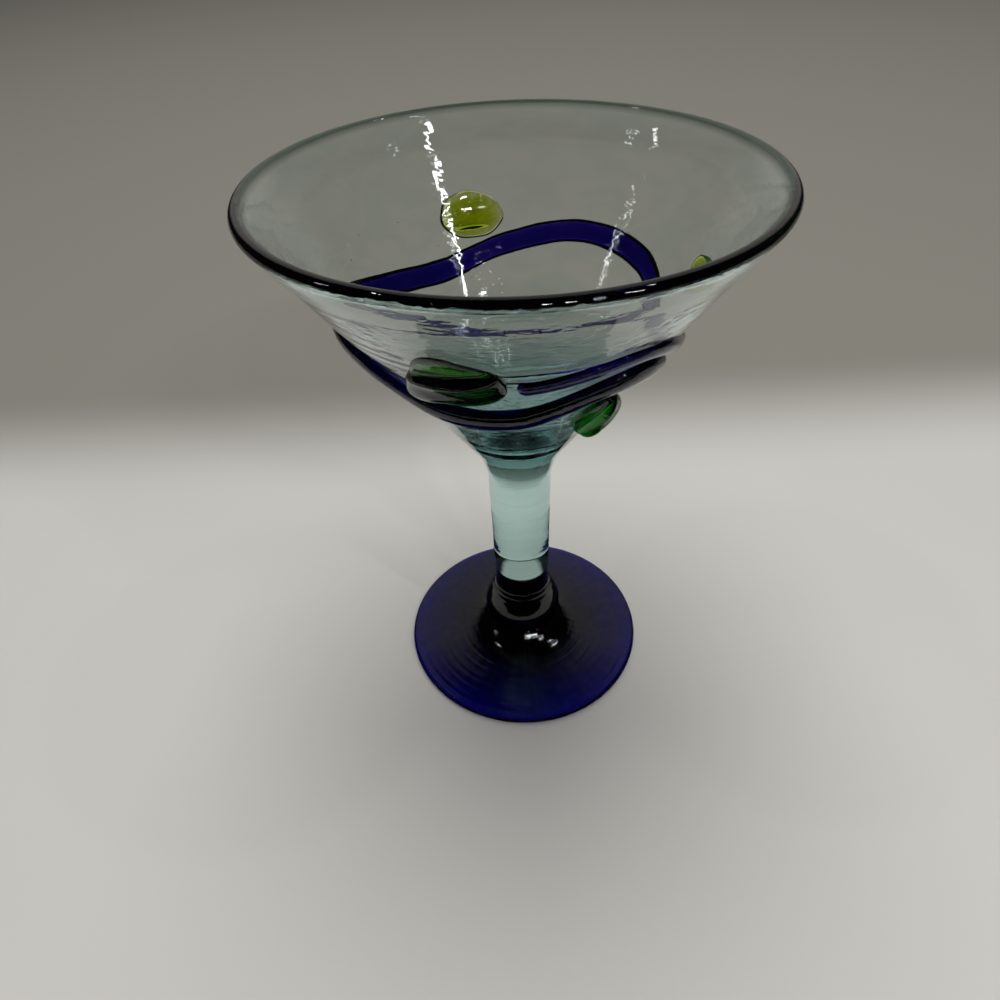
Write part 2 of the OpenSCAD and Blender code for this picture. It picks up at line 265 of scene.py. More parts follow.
# Cobalt glass, pressed: black round the hub, deepened there by painted shade, and a clear violet
# blue at the thin edge
cobalt_foot_glass = blown_glass(
    "cobalt_glass_pressed", (1000, 1200, 90), 9, 0.03, ("#e6e4f2", "#ffffff"), 7,
    marks=pressed_marks, painted_darkening=painted_hub_shade)
finish_piece(foot, cobalt_foot_glass, "cobalt_glass", "foot")


# ---- Knop ----
# A second gather of the same cobalt glass, squeezed with the jacks into a fat ring and
# drawn up to a collar. The jacks left fine grooves round the collar and above the ring.

knop_z = foot_h
knop_h = 27 * mm
knop_r = 14.25 * mm
collar_r = 9.6 * mm
collar_round = 0.6 * mm
# How high the ring's widest line and the groove above it are, as shares of the knop
ring_share = 0.27
groove_share = 0.69
# How soon the ring turns in above its widest line: the smaller, the sharper
ring_bend = 0.3
stem_z = knop_z + knop_h

knop_outline = [(0, knop_z + joint_film)]
for t in np.linspace(0, 1, 25):
    knop_outline.append((foot_hub_r + (knop_r - foot_hub_r) * math.sin(math.pi / 2 * t),
                         knop_z + joint_film
                         + knop_h * ring_share * (1 - math.cos(math.pi / 2 * t))))
# Above its widest line the ring draws in along an almost straight slope to a sharp groove
for t in np.linspace(0, 1, 41)[1:]:
    drawn_in = (math.hypot(1, t / ring_bend) - 1) / (math.hypot(1, 1 / ring_bend) - 1)
    knop_outline.append((knop_r - (knop_r - collar_r) * drawn_in,
                         knop_z + knop_h * (ring_share + (groove_share - ring_share) * t)))
for t in np.linspace(0, 1, 21)[1:-1]:
    knop_outline.append((collar_r, knop_z + knop_h * groove_share
                         + (knop_h * (1 - groove_share) - collar_round) * t))
knop_outline += arc((collar_r - collar_round, stem_z - collar_round - joint_film), collar_round,
                    0, 90, 8)
knop_outline.append((0, stem_z - joint_film))


def jack_grooves(reach, height, ring):
    """Fine grooves round the collar and the shoulder, and a ring that isn't quite even."""
    on_collar = smooth_step(26 * mm, 29 * mm, height) * smooth_step(5 * mm, 9 * mm, reach)
    cut = 0.12 * mm * np.sin(height / (3.4 * mm) * 2 * math.pi + 0.4 * np.sin(ring)) ** 2
    fat = smooth_step(10 * mm, knop_r, reach)
    return reach - on_collar * cut - fat * 0.10 * mm * (1 + np.cos(2 * ring + 1.1)), height


knop = turned("knop_cobalt", knop_outline, jack_grooves)
# Cobalt glass, jacked: so thick here that it is near black, and only its grooves catch light
cobalt_takes = (1000, 1200, 210)
cobalt_knop_glass = blown_glass(
    "cobalt_glass_jacked", cobalt_takes, 7, 0.12, ("#e0def0", "#ffffff"), 6)
finish_piece(knop, cobalt_knop_glass, "cobalt_glass", "knop")


# ---- Stem ----
# A solid rod of pale aqua glass, cut from a drawn cane. Its upper end was melted into the
# bowl, so no face is left there, and its lower end keeps its rounded edge on the knop.

stem_h = 37 * mm
stem_base_r = 10.05 * mm
stem_top_r = 10.35 * mm
stem_round = 0.9 * mm
bowl_z = stem_z + stem_h

stem_outline = [(0, stem_z + joint_film)]
stem_outline += arc((stem_base_r - stem_round, stem_z + stem_round + joint_film), stem_round,
                    -90, 0, 12)
for t in np.linspace(0, 1, 41)[1:]:
    low = stem_z + stem_round + joint_film
    stem_outline.append((stem_base_r + (stem_top_r - stem_base_r) * t,
                         low + (bowl_z - joint_film / 2 - low) * t))
stem_outline.append((0, bowl_z - joint_film / 2))


def drawn_cane(reach, height, ring):
    """The rod is a little thinner half-way up, as a drawn cane is."""
    along = np.clip((height - stem_z) / stem_h, 0, 1)
    waist = 0.14 * mm * np.sin(math.pi * along) ** 2
    lobes = 0.05 * mm * np.sin(math.pi * along) * (1 + np.cos(3 * ring + 6 * along))
    return reach - (waist + lobes) * reach / stem_top_r, height


def mark_joint(piece, height):
    """Marks the faces that lie in the plane where two pieces were melted together."""
    mesh = piece.data
    near = [all(abs(mesh.vertices[v].co.z - height) < joint_film for v in face.vertices)
            for face in mesh.polygons]
    mark = mesh.attributes.new("joined", "FLOAT", "FACE")
    mark.data.foreach_set("value", [float(n) for n in near])


stem = turned("stem_aqua", stem_outline, drawn_cane)
mark_joint(stem, bowl_z)
# Aqua glass, drawn: pale green-blue through the rod's whole thickness, and nearly flawless
aqua_takes = (20, 7, 8)
aqua_cane_glass = blown_glass(
    "aqua_glass_drawn", aqua_takes, 14, 0.10, ("#f4fbfa", "#ffffff"), 9, joined=True)
finish_piece(stem, aqua_cane_glass, "aqua_glass", "stem")


# ---- Bowl ----
# One gather of clear glass, blown into a cone and opened with the jacks. The lip was melted
# back to a round bead, and the jacks left rings on the wall. Its lowest quarter is solid.

bowl_h = 102 * mm
mouth_r = 67.6 * mm
wall_t = 2.6 * mm
lip_t = 3.6 * mm
floor_t = 23.9 * mm
well_r = 26 * mm
neck_blend = 30 * mm
rim_z = bowl_z + bowl_h
lip_r = mouth_r - lip_t / 2
lip_z = rim_z - lip_t / 2
well_z = bowl_z + floor_t + well_r
flare = math.atan(lip_r / (lip_z - well_z)) - math.asin(
    (well_r + wall_t / 2) / math.hypot(lip_r, lip_z - well_z))
half_wall = wall_t / 2 / math.cos(flare)
neck_z = lip_z - (lip_r + half_wall - stem_top_r) / math.tan(flare)
neck_run = neck_blend * math.tan(flare / 2)
# The lip's bead runs out into the wall over this length
lip_run = 12 * mm


def outer_r(z):
    """Outside radius of the wall at a height."""
    return lip_r + half_wall - (lip_z - z) * math.tan(flare)


def wall_face(side, down):
    """A point on the wall's outside (side 1) or inside (-1), at a distance down from the bead."""
    half = wall_t / 2 + (lip_t - wall_t) / 2 * (1 - smooth_step(0.2 * lip_run, lip_run, down))
    return (lip_r - down * math.sin(flare) + side * half * math.cos(flare),
            lip_z - down * math.cos(flare) - side * half * math.sin(flare))


lean = math.degrees(flare)
bowl_outline = [(0, bowl_z + joint_film / 2), (stem_top_r, bowl_z + joint_film / 2)]
for t in np.linspace(0, 1, 8)[1:-1]:
    bowl_outline.append((stem_top_r, bowl_z + (neck_z - neck_run - bowl_z) * t))
bowl_outline += arc((stem_top_r + neck_blend, neck_z - neck_run), neck_blend, 180, 180 - lean, 16)
wall_run = ((lip_z - neck_z) / math.cos(flare)) - neck_run
for down in np.linspace(wall_run, 0, 90)[1:]:
    bowl_outline.append(wall_face(1, down))
bowl_outline += arc((lip_r, lip_z), lip_t / 2, -lean, 180 - lean, 24)[1:]
inner_run = (lip_z - well_z + (well_r + wall_t / 2) * math.sin(flare)) / math.cos(flare)
for down in np.linspace(0, inner_run, 150)[1:-1]:
    bowl_outline.append(wall_face(-1, down))
bowl_outline += arc((0, well_z), well_r, -lean, -90, 24)


def jack_rings(reach, height, ring):
    """Rings that the jacks left inside the wall, and a lip that is a little uneven."""
    inside = reach < lip_r - (lip_z - height) * math.tan(flare)
    up = (height - bowl_z) / bowl_h
    on_wall = smooth_step(0.12, 0.3, up) * (1 - smooth_step(0.93, 0.97, up)) * inside
    rings = 0
    for middle, deep, wide in ((0.905, 0.07, 0.010), (0.80, 0.05, 0.012), (0.765, 0.12, 0.006),
                               (0.735, 0.12, 0.005), (0.47, 0.05, 0.014)):
        wander = 0.006 * np.sin(ring + 9 * middle) + 0.003 * np.sin(3 * ring + 5 * middle)
        rings = rings + deep * mm * np.exp(-((up - middle - wander) / wide) ** 2)
    slow = 0.10 * mm * np.sin(2 * ring + 14 * up) + 0.06 * mm * np.sin(5 * ring - 20 * up)
    move = on_wall * (rings + slow * smooth_step(0.3, 0.5, up))
    lip = smooth_step(0.965, 1.0, up) * 0.10 * mm * (1 + np.cos(3 * ring + 2)) / 2
    return reach + move * math.cos(flare), height - move * math.sin(flare) - lip


def painted_long_path_tint(tree, place):
    """Painted tint for light that runs a long way through thick glass: a band of deeper aqua up
    the solid funnel, and a dark green on the lip, which was melted back on itself into a bead."""
    spot = add(tree, "ShaderNodeSeparateXYZ", {0: place})
    # Painted dark green on the top of the lip, for light that runs a long way round the bead
    up = add(tree, "ShaderNodeMapRange", {
        "Value": spot.outputs["Z"], "From Min": rim_z - 2.2 * mm, "From Max": rim_z - 0.6 * mm})
    lip = add(tree, "ShaderNodeValToRGB", {"Fac": up.outputs["Result"]})
    lip.color_ramp.elements[0].color = linear("#ffffff")
    lip.color_ramp.elements[1].color = linear("#48594f")
    # Painted deeper aqua in a band up the funnel, for light that runs a long way through the solid
    # glass
    funnel = add(tree, "ShaderNodeMapRange", {
        "Value": spot.outputs["Z"], "From Min": bowl_z, "From Max": bowl_z + 60 * mm})
    aqua = add(tree, "ShaderNodeValToRGB", {"Fac": funnel.outputs["Result"]})
    aqua.color_ramp.elements[0].position = 0.05
    aqua.color_ramp.elements[0].color = linear("#ffffff")
    aqua.color_ramp.elements[1].position = 0.95
    aqua.color_ramp.elements[1].color = linear("#ffffff")
    for share in (0.28, 0.65):
        aqua.color_ramp.elements.new(share).color = linear("#b8cfd0")
    return add(tree, "ShaderNodeMix", {
        0: 1.0, 6: lip.outputs["Color"], 7: aqua.outputs["Color"]},
        data_type="RGBA", blend_type="MULTIPLY").outputs[2]


bowl = turned("bowl_clear", bowl_outline, jack_rings, steps=256)
mark_joint(bowl, bowl_z)
# Clear glass, blown: colourless in the thin wall, with level ripples that bend what is behind it
# The funnel and the lip carry a painted tint for long light paths
clear_blown_glass = blown_glass(
    "clear_glass_blown", aqua_takes, 16, 0.16, ("#f3faf8", "#ffffff"), 14, joined=True,
    chill_mm=2.8, chill_h_mm=0.045, painted_darkening=painted_long_path_tint)
finish_piece(bowl, clear_blown_glass, "clear_glass", "bowl")


# ---- Seeds ----
# Small bubbles of air that were stirred into the gather, drawn out by the blowing. They lie
# inside the wall, most of them in its upper half. Light bends out of the glass into them.

seed_long = 0.62 * mm
seed_count_per_m2 = 1500

seed_tree = bpy.data.node_groups.new("scattered_seeds", "GeometryNodeTree")
seed_tree.interface.new_socket("Wall", in_out="INPUT", socket_type="NodeSocketGeometry")
seed_tree.interface.new_socket("Seeds per m2", in_out="INPUT", socket_type="NodeSocketFloat")
seed_tree.interface.new_socket("Length", in_out="INPUT", socket_type="NodeSocketFloat")
seed_tree.interface.new_socket("Glass", in_out="INPUT", socket_type="NodeSocketMaterial")
seed_tree.interface.new_socket("Seeds", in_out="OUTPUT", socket_type="NodeSocketGeometry")
given = add(seed_tree, "NodeGroupInput").outputs
scatter = add(seed_tree, "GeometryNodeDistributePointsOnFaces", {
    "Mesh": given["Wall"], "Density": given["Seeds per m2"], "Seed": 11})
bubble = add(seed_tree, "GeometryNodeMeshUVSphere", {"Segments": 10, "Rings": 6, "Radius": 0.5})
drawn = add(seed_tree, "FunctionNodeRandomValue", {
    "Min": (0.35, 0.25, 0.25), "Max": (1.6, 0.6, 0.45), "Seed": 5}, data_type="FLOAT_VECTOR")
sized = add(seed_tree, "ShaderNodeVectorMath", {
    0: drawn.outputs["Value"], "Scale": given["Length"]}, operation="SCALE")
spread = add(seed_tree, "GeometryNodeInstanceOnPoints", {
    "Points": scatter.outputs["Points"], "Instance": bubble.outputs["Mesh"],
    "Rotation": scatter.outputs["Rotation"], "Scale": sized.outputs[0]})
real = add(seed_tree, "GeometryNodeRealizeInstances", {"Geometry": spread.outputs[0]})
painted = add(seed_tree, "GeometryNodeSetMaterial", {
    "Geometry": real.outputs[0], "Material": given["Glass"]})
add(seed_tree, "NodeGroupOutput", {"Seeds": painted.outputs[0]})


def run_tree(name, start, tree, **inputs):
    """Puts a mesh through a node tree and gives back the result as a plain mesh."""
    step = start.modifiers.new(tree.name, "NODES")
    step.node_group = tree
    sockets = {s.name: s.identifier for s in tree.interface.items_tree if s.in_out == "INPUT"}
    for key, value in inputs.items():
        step[sockets[key.replace("_", " ")]] = value
    depsgraph = bpy.context.evaluated_depsgraph_get()
    depsgraph.update()
    mesh = bpy.data.meshes.new_from_object(start.evaluated_get(depsgraph))
    mesh.name = name
    start.modifiers.remove(step)
    bpy.data.objects.remove(start)
    piece = bpy.data.objects.new(name, mesh)
    bpy.context.scene.collection.objects.link(piece)
    return piece


# The middle of the wall, where the seeds lie
middle = []
for down in np.linspace(8 * mm, 62 * mm, 12):
    middle.append((lip_r - down * math.sin(flare), lip_z - down * math.cos(flare)))
wall_steps = 48
wall_points = [(r * math.cos(a), r * math.sin(a), z)
               for r, z in middle
               for a in np.arange(wall_steps) * 2 * math.pi / wall_steps]
wall_faces = [(i * wall_steps + j, i * wall_steps + (j + 1) % wall_steps,
               (i + 1) * wall_steps + (j + 1) % wall_steps, (i + 1) * wall_steps + j)
              for i in range(len(middle) - 1) for j in range(wall_steps)]
wall_mesh = bpy.data.meshes.new("wall_middle")
wall_mesh.from_pydata(wall_points, [], wall_faces)
wall_middle = bpy.data.objects.new("wall_middle", wall_mesh)
bpy.context.scene.collection.objects.link(wall_middle)

# Air shut in glass: each bubble shows as a small bright dot with a dark outline
air_in_glass = bpy.data.materials.new("air_bubble_in_glass")
air_in_glass.use_nodes = True
tree = air_in_glass.node_tree
tree.nodes.clear()
grain = add(tree, "ShaderNodeTexNoise", {
    "Vector": add(tree, "ShaderNodeTexCoord").outputs["Object"],
    "Scale": 1 / (0.3 * mm), "Detail": 1.0})
dimple = add(tree, "ShaderNodeBump", {
    "Height": grain.outputs["Fac"], "Distance": 0.01 * mm, "Strength": 1.0})
# Going from glass to air the light bends the other way, so the index is turned over
void = add(tree, "ShaderNodeBsdfPrincipled", {
    "Base Color": (1, 1, 1, 1), "Roughness": 0.0, "IOR": 1 / soda_lime_ior,
    "Transmission Weight": 1.0, "Normal": dimple.outputs["Normal"]})
add(tree, "ShaderNodeOutputMaterial", {"Surface": void.outputs[0]})

seeds = run_tree("wall_seeds", wall_middle, seed_tree,
                 Seeds_per_m2=seed_count_per_m2, Length=seed_long, Glass=air_in_glass)
seeds.data.shade_smooth()
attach(seeds, "root")


# ---- Trail ----
# One thread of hot cobalt glass, laid on the turning bowl from a rod. It sagged up and down
# as it went, and was pulled off above its own start. Its two ends are round.

trail_w = 8.2 * mm
trail_proud = 3.5 * mm
# Trail and leaves were melted on, so they sink into the wall by this much
seat_gap = -0.15 * mm
trail_start_deg = -30
trail_step_deg = 30
trail_first_deg = 7.5
trail_last_deg = 422.4
# One value for each step, as shares of the bowl's height and of the full width
trail_height_shares = [0.609, 0.659, 0.567, 0.565, 0.646, 0.673, 0.624, 0.599,
                       0.642, 0.68, 0.658, 0.589, 0.653, 0.75, 0.704]
trail_width_shares = [0.91, 0.98, 1.05, 1.01, 0.95, 0.99, 0.94, 0.88,
                      0.86, 0.86, 0.86, 0.84, 0.76, 0.58, 0.57]


def between(values, place):
    """A smooth curve through evenly spaced values."""
    last = len(values) - 1
    i = min(int(place), last - 1)
    t = place - i
    a, b, c, d = values[max(i - 1, 0)], values[i], values[i + 1], values[min(i + 2, last)]
    return b + t * ((c - a) + t * ((2 * a - 5 * b + 4 * c - d)
                                   + t * (3 * b - a - 3 * c + d))) / 2


def trail_z(wound):
    return bowl_z + bowl_h * between(trail_height_shares, wound / trail_step_deg)


def trail_width(wound):
    return trail_w * between(trail_width_shares, wound / trail_step_deg)


def on_wall(angle, z, out):
    """A point on the wall: angle round the bowl, height, and distance out from the glass."""
    reach = outer_r(z) + out * math.cos(flare)
    return Vector((reach * math.cos(angle), reach * math.sin(angle), z - out * math.sin(flare)))


thread_points, thread_size, thread_out = [], [], []
for wound in np.linspace(trail_first_deg, trail_last_deg, 520):
    angle = math.radians(trail_start_deg - wound)
    z = trail_z(wound)
    width = trail_width(wound)
    reach_per_deg = math.radians(1) * outer_r(z)
    climb = (trail_z(wound + 0.5) - trail_z(wound - 0.5)) / math.cos(flare) / reach_per_deg
    room = min(wound - trail_first_deg, trail_last_deg - wound) * reach_per_deg
    t = min(room / (width / 2), 1)
    lumps = 1 + 0.018 * math.sin(math.radians(9 * wound)) + 0.012 * math.sin(
        math.radians(23 * wound + 40))
    size = width / trail_w * max(math.sqrt(1 - (1 - t) ** 2), 0.12) * lumps
    thread_points.append(on_wall(angle, z, seat_gap))
    thread_size.append(0.985 * size / math.hypot(1, climb))
    thread_out.append(Vector((math.cos(flare) * math.cos(angle),
                              math.cos(flare) * math.sin(angle), -math.sin(flare))))
thread_mesh = bpy.data.meshes.new("thread_line")
thread_mesh.from_pydata(thread_points, [(i, i + 1) for i in range(len(thread_points) - 1)], [])
thread_mesh.attributes.new("size", "FLOAT", "POINT").data.foreach_set("value", thread_size)
thread_mesh.attributes.new("out", "FLOAT_VECTOR", "POINT").data.foreach_set(
    "vector", [c for v in thread_out for c in v])
thread_line = bpy.data.objects.new("thread_line", thread_mesh)
bpy.context.scene.collection.objects.link(thread_line)

trail_tree = bpy.data.node_groups.new("laid_thread", "GeometryNodeTree")
trail_tree.interface.new_socket("Line", in_out="INPUT", socket_type="NodeSocketGeometry")
trail_tree.interface.new_socket("Width", in_out="INPUT", socket_type="NodeSocketFloat")
trail_tree.interface.new_socket("Proud", in_out="INPUT", socket_type="NodeSocketFloat")
trail_tree.interface.new_socket("Sides", in_out="INPUT", socket_type="NodeSocketInt")
trail_tree.interface.new_socket("Glass", in_out="INPUT", socket_type="NodeSocketMaterial")
trail_tree.interface.new_socket("Thread", in_out="OUTPUT", socket_type="NodeSocketGeometry")
given = add(trail_tree, "NodeGroupInput").outputs
line = add(trail_tree, "GeometryNodeMeshToCurve", {"Mesh": given["Line"]})
size = add(trail_tree, "GeometryNodeInputNamedAttribute", {"Name": "size"}, data_type="FLOAT")
out = add(trail_tree, "GeometryNodeInputNamedAttribute", {"Name": "out"},
          data_type="FLOAT_VECTOR")
faced = add(trail_tree, "GeometryNodeSetCurveNormal", {
    "Curve": line.outputs["Curve"], "Normal": out.outputs["Attribute"]}, mode="FREE")
fattened = add(trail_tree, "GeometryNodeSetCurveRadius", {
    "Curve": faced.outputs["Curve"], "Radius": size.outputs["Attribute"]})
# Half a round section, flat on the wall
half = add(trail_tree, "GeometryNodeCurveArc", {
    "Resolution": given["Sides"], "Radius": 1.0, "Start Angle": -math.pi / 2,
    "Sweep Angle": math.pi}, mode="RADIUS")
shut = add(trail_tree, "GeometryNodeSetSplineCyclic", {
    "Geometry": half.outputs["Curve"], "Cyclic": True})
# The thread was stiff when it was laid on, so its sides stand up from the wall
here = add(trail_tree, "GeometryNodeInputPosition")
spot = add(trail_tree, "ShaderNodeSeparateXYZ", {0: here.outputs[0]})
lower = add(trail_tree, "ShaderNodeMath", {0: spot.outputs["X"], 1: 0.72}, operation="POWER")
moved = add(trail_tree, "ShaderNodeCombineXYZ", {"X": lower.outputs[0], "Y": spot.outputs["Y"]})
soft = add(trail_tree, "GeometryNodeSetPosition", {
    "Geometry": shut.outputs[0], "Position": moved.outputs[0]})
half_width = add(trail_tree, "ShaderNodeMath", {0: given["Width"], 1: 0.5}, operation="MULTIPLY")
stretch = add(trail_tree, "ShaderNodeCombineXYZ", {
    "X": given["Proud"], "Y": half_width.outputs[0], "Z": 1.0})
section = add(trail_tree, "GeometryNodeTransform", {
    "Geometry": soft.outputs[0], "Scale": stretch.outputs[0]})
thread = add(trail_tree, "GeometryNodeCurveToMesh", {
    "Curve": fattened.outputs["Curve"], "Profile Curve": section.outputs["Geometry"],
    "Fill Caps": True})
if "Scale" in thread.inputs:
    trail_tree.links.new(size.outputs["Attribute"], thread.inputs["Scale"])
real = add(trail_tree, "GeometryNodeRealizeInstances", {"Geometry": thread.outputs["Mesh"]})
painted = add(trail_tree, "GeometryNodeSetMaterial", {
    "Geometry": real.outputs[0], "Material": given["Glass"]})
add(trail_tree, "NodeGroupOutput", {"Thread": painted.outputs[0]})

# Cobalt glass, trailed: deep blue where light comes through, and black seen from outside
cobalt_thread_glass = blown_glass(
    "cobalt_glass_thread", (1500, 1900, 450), 6, 0.12, ("#dcdaf0", "#ffffff"), 8)
trail = run_tree("trail_cobalt", thread_line, trail_tree, Width=trail_w, Proud=trail_proud,
                 Sides=36, Glass=cobalt_thread_glass)
trail.data.shade_smooth()
trail.data.set_sharp_from_angle(angle=math.radians(50))
finish_piece(trail, cobalt_thread_glass, "cobalt_glass", "trail")


# ---- Leaves ----
# Four bits of hot green glass, pressed on the wall beside the trail and creased along their
# length with a tool. The two at the front were pushed to one side, so each has a thin flap.

leaf_step_deg = 30
leaf_edge_t = 0.9 * mm
# How deep the creases go, as a share of the swell
crease_share = 0.24


def round_outline(shares, a):
    """Reach of a leaf's outline at an angle, from one share for each 30 degrees."""
    place = math.degrees(a) % 360 / leaf_step_deg
    count = len(shares)
    start = int(place) % count
    near = [shares[(start + k) % count] for k in (-1, 0, 1, 2)]
    return between(near, 1 + place - int(place))


def leaf(name, wound, side, space, lean_deg, length, width, proud, outline, creases,
         thin=1.0, flap_from=0.4, flap_run=0.3, edge=leaf_edge_t, swell_power=0.5):
    """A pressed leaf. wound is where it sits along the trail, side is 1 above it and -1 below,
    and space is the wall left bare between them. thin is how thick its upper flap is left, which
    starts at flap_from of the way up and is reached after flap_run more. A low swell_power makes
    it a slab, and a high one a mound."""
    rings, steps, seat_rings = 30, 120, 10
    turn = math.radians(lean_deg)
    across = math.hypot(length / 2 * math.sin(turn), width / 2 * math.cos(turn))
    centre_z = trail_z(wound) + side * (trail_width(wound) / 2 + space + across) * math.cos(flare)
    centre_angle = math.radians(trail_start_deg - wound)

    def spot(a, ring):
        reach = round_outline(outline, a) * ring * (1 - 0.012 * math.sin(7 * a + wound) * ring)
        return length / 2 * math.cos(a) * reach, width / 2 * math.sin(a) * reach

    def pressed(a, ring, out):
        along, over = spot(a, ring)
        up = along * math.sin(turn) + over * math.cos(turn)
        z = centre_z + up * math.cos(flare)
        level = along * math.cos(turn) - over * math.sin(turn)
        return on_wall(centre_angle + level / outer_r(z), z, seat_gap + out)

    def thick(a, ring):
        along, over = spot(a, ring)
        groove = 1 - crease_share * math.cos(
            math.pi * creases * over / width + 0.25 * math.sin(along / length * 5)) ** 6
        flap = 1 - (1 - thin) * smooth_step(flap_from, flap_from + flap_run, 2 * over / width)
        swell = (1 - ring ** 2) ** swell_power * groove * flap
        return edge * (1 - ring ** 14) ** 0.5 + (proud - edge) * swell

    points = [pressed(0, 0, thick(0, 0))]
    rows = [(1 - (1 - i / rings) ** 1.5, True) for i in range(1, rings + 1)]
    rows += [(i / seat_rings, False) for i in range(seat_rings - 1, 0, -1)]
    for ring, top in rows:
        for j in range(steps):
            a = 2 * math.pi * j / steps
            points.append(pressed(a, ring, thick(a, ring) if top else 0))
    points.append(pressed(0, 0, 0))
    faces = []
    for j in range(steps):
        k = (j + 1) % steps
        faces.append((0, 1 + j, 1 + k))
        for i in range(len(rows) - 1):
            a, b = 1 + i * steps, 1 + (i + 1) * steps
            faces.append((a + j, b + j, b + k, a + k))
        last = 1 + (len(rows) - 1) * steps
        faces.append((last + j, len(points) - 1, last + k))
    mesh = bpy.data.meshes.new(name)
    mesh.from_pydata(points, [], faces)
    mesh.shade_smooth()
    piece = bpy.data.objects.new(name, mesh)
    bpy.context.scene.collection.objects.link(piece)
    return piece


lime_leaf = leaf("leaf_lime", 226.5, 1, 1.7 * mm, 4, 20.8 * mm, 14.4 * mm, 2.8 * mm,
                 [1, 1, 1, 0.98, 0.98, 0.98, 1, 1, 1.02, 1.02, 1.04, 1.03], 3,
                 edge=0.15 * mm, swell_power=1.6)
# Lime glass, pressed: yellow-green, and olive where it is thick
lime_takes = (250, 160, 1900)
lime_glass = blown_glass("lime_glass_pressed", lime_takes, 5, 0.10, ("#dfe6a8", "#fdffe8"), 5)
finish_piece(lime_leaf, lime_glass, "lime_glass", "lime_leaf")

long_leaf = leaf("leaf_long", 78.9, 1, 5.9 * mm, 13, 27.2 * mm, 19.1 * mm, 4.5 * mm,
                 [0.9, 0.91, 0.94, 1.2, 0.96, 0.82, 0.95, 1.2, 0.83, 0.82, 0.91, 0.96], 1,
                 thin=0.12, flap_from=0.25, flap_run=0.2, edge=0.5 * mm, swell_power=0.3)
# Bottle glass, pressed: nearly black in the slab, and leaf green in the thin flap
bottle_glass = blown_glass(
    "bottle_green_glass_pressed", (1300, 430, 1800), 5, 0.14, ("#c8e0b0", "#f4ffe6"), 6)
finish_piece(long_leaf, bottle_glass, "bottle_green_glass", "long_leaf")

low_leaf = leaf("leaf_low", 28.4, -1, 6.6 * mm, 74, 18.8 * mm, 11.6 * mm, 5.9 * mm,
                [1.02, 1.06, 1.1, 1.07, 0.84, 0.82, 0.91, 1.2, 0.86, 0.82, 0.88, 0.98], 1,
                thin=0.35, flap_from=0.1, flap_run=0.3, edge=0.5 * mm, swell_power=0.35)
# Emerald glass, pressed: bright green that darkens toward the thick side
emerald_glass = blown_glass(
    "emerald_glass_pressed", (800, 170, 900), 5, 0.14, ("#cdeab8", "#f6fff0"), 6)
finish_piece(low_leaf, emerald_glass, "emerald_glass", "low_leaf")

side_leaf = leaf("leaf_side", 341.5, 1, 6.2 * mm, 8, 26.5 * mm, 9.6 * mm, 2.8 * mm,
                 [1] * 12, 1, edge=0.5 * mm)
# Lime glass again, in a longer bit that is drawn out and shows a little darker
side_glass = blown_glass(
    "lime_glass_dark_ended", lime_takes, 5, 0.10, ("#d4dc90", "#fbffe0"), 5)
finish_piece(side_leaf, side_glass, "lime_glass", "side_leaf")


# ---- Table, light and camera ----
# A pale matt table under one big soft box. Small lamps in front and beside give the glass its
# points of light, and two tall narrow ones draw the upright streaks inside the bowl. Dark felt
# in front and round the foot keeps the thick glass dark, and it shows only in mirror images.

table_r = 3.0
table_mesh = bpy.data.meshes.new("table")
rim = [(table_r * math.cos(a), table_r * math.sin(a), -0.1 * mm)
       for a in np.arange(96) * 2 * math.pi / 96]
table_mesh.from_pydata(rim, [], [tuple(range(96))])
table = bpy.data.objects.new("table", table_mesh)
bpy.context.scene.collection.objects.link(table)
# Matt pale board: it takes soft shadows, and shows no mirror image of the glass
matt_table = bpy.data.materials.new("matt_pale_table")
matt_table.use_nodes = True
tree = matt_table.node_tree
tree.nodes.clear()
cloud = add(tree, "ShaderNodeTexNoise", {
    "Vector": add(tree, "ShaderNodeTexCoord").outputs["Object"], "Scale": 9.0, "Detail": 2.0})
pale = add(tree, "ShaderNodeValToRGB", {"Fac": cloud.outputs["Fac"]})
pale.color_ramp.elements[0].color = linear("#cbc9c4")
pale.color_ramp.elements[1].color = linear("#cfcdc8")
# Behind the glass the table runs out into a greyer backing sheet
depth_back = add(tree, "ShaderNodeSeparateXYZ", {
    0: add(tree, "ShaderNodeTexCoord").outputs["Object"]})
back = add(tree, "ShaderNodeMapRange", {
    "Value": depth_back.outputs["Y"], "From Min": 0.09, "From Max": 0.19},
    interpolation_type="SMOOTHSTEP")
two_tone = add(tree, "ShaderNodeMix", {
    0: back.outputs["Result"], 6: pale.outputs["Color"], 7: linear("#8a877f")}, data_type="RGBA")
matt = add(tree, "ShaderNodeBsdfPrincipled", {
    "Base Color": two_tone.outputs[2], "Roughness": 0.7, "Specular IOR Level": 0.2})
add(tree, "ShaderNodeOutputMaterial", {"Surface": matt.outputs[0]})
table_mesh.materials.append(matt_table)

room = bpy.data.worlds.new("room")
bpy.context.scene.world = room
room.use_nodes = True
tree = room.node_tree
tree.nodes.clear()
# What the glass mirrors: a pale wall straight behind it, and a dark room all round
toward = add(tree, "ShaderNodeTexCoord").outputs["Generated"]
near_wall = add(tree, "ShaderNodeVectorMath", {0: toward, 1: (0.05, 0.85, 0.52)},
                operation="DOT_PRODUCT")
wall = add(tree, "ShaderNodeValToRGB", {"Fac": near_wall.outputs["Value"]})
wall.color_ramp.elements[0].position = 0.74
wall.color_ramp.elements[0].color = linear("#1c1c1e")
wall.color_ramp.elements[1].position = 0.84
wall.color_ramp.elements[1].color = linear("#a4a29c")
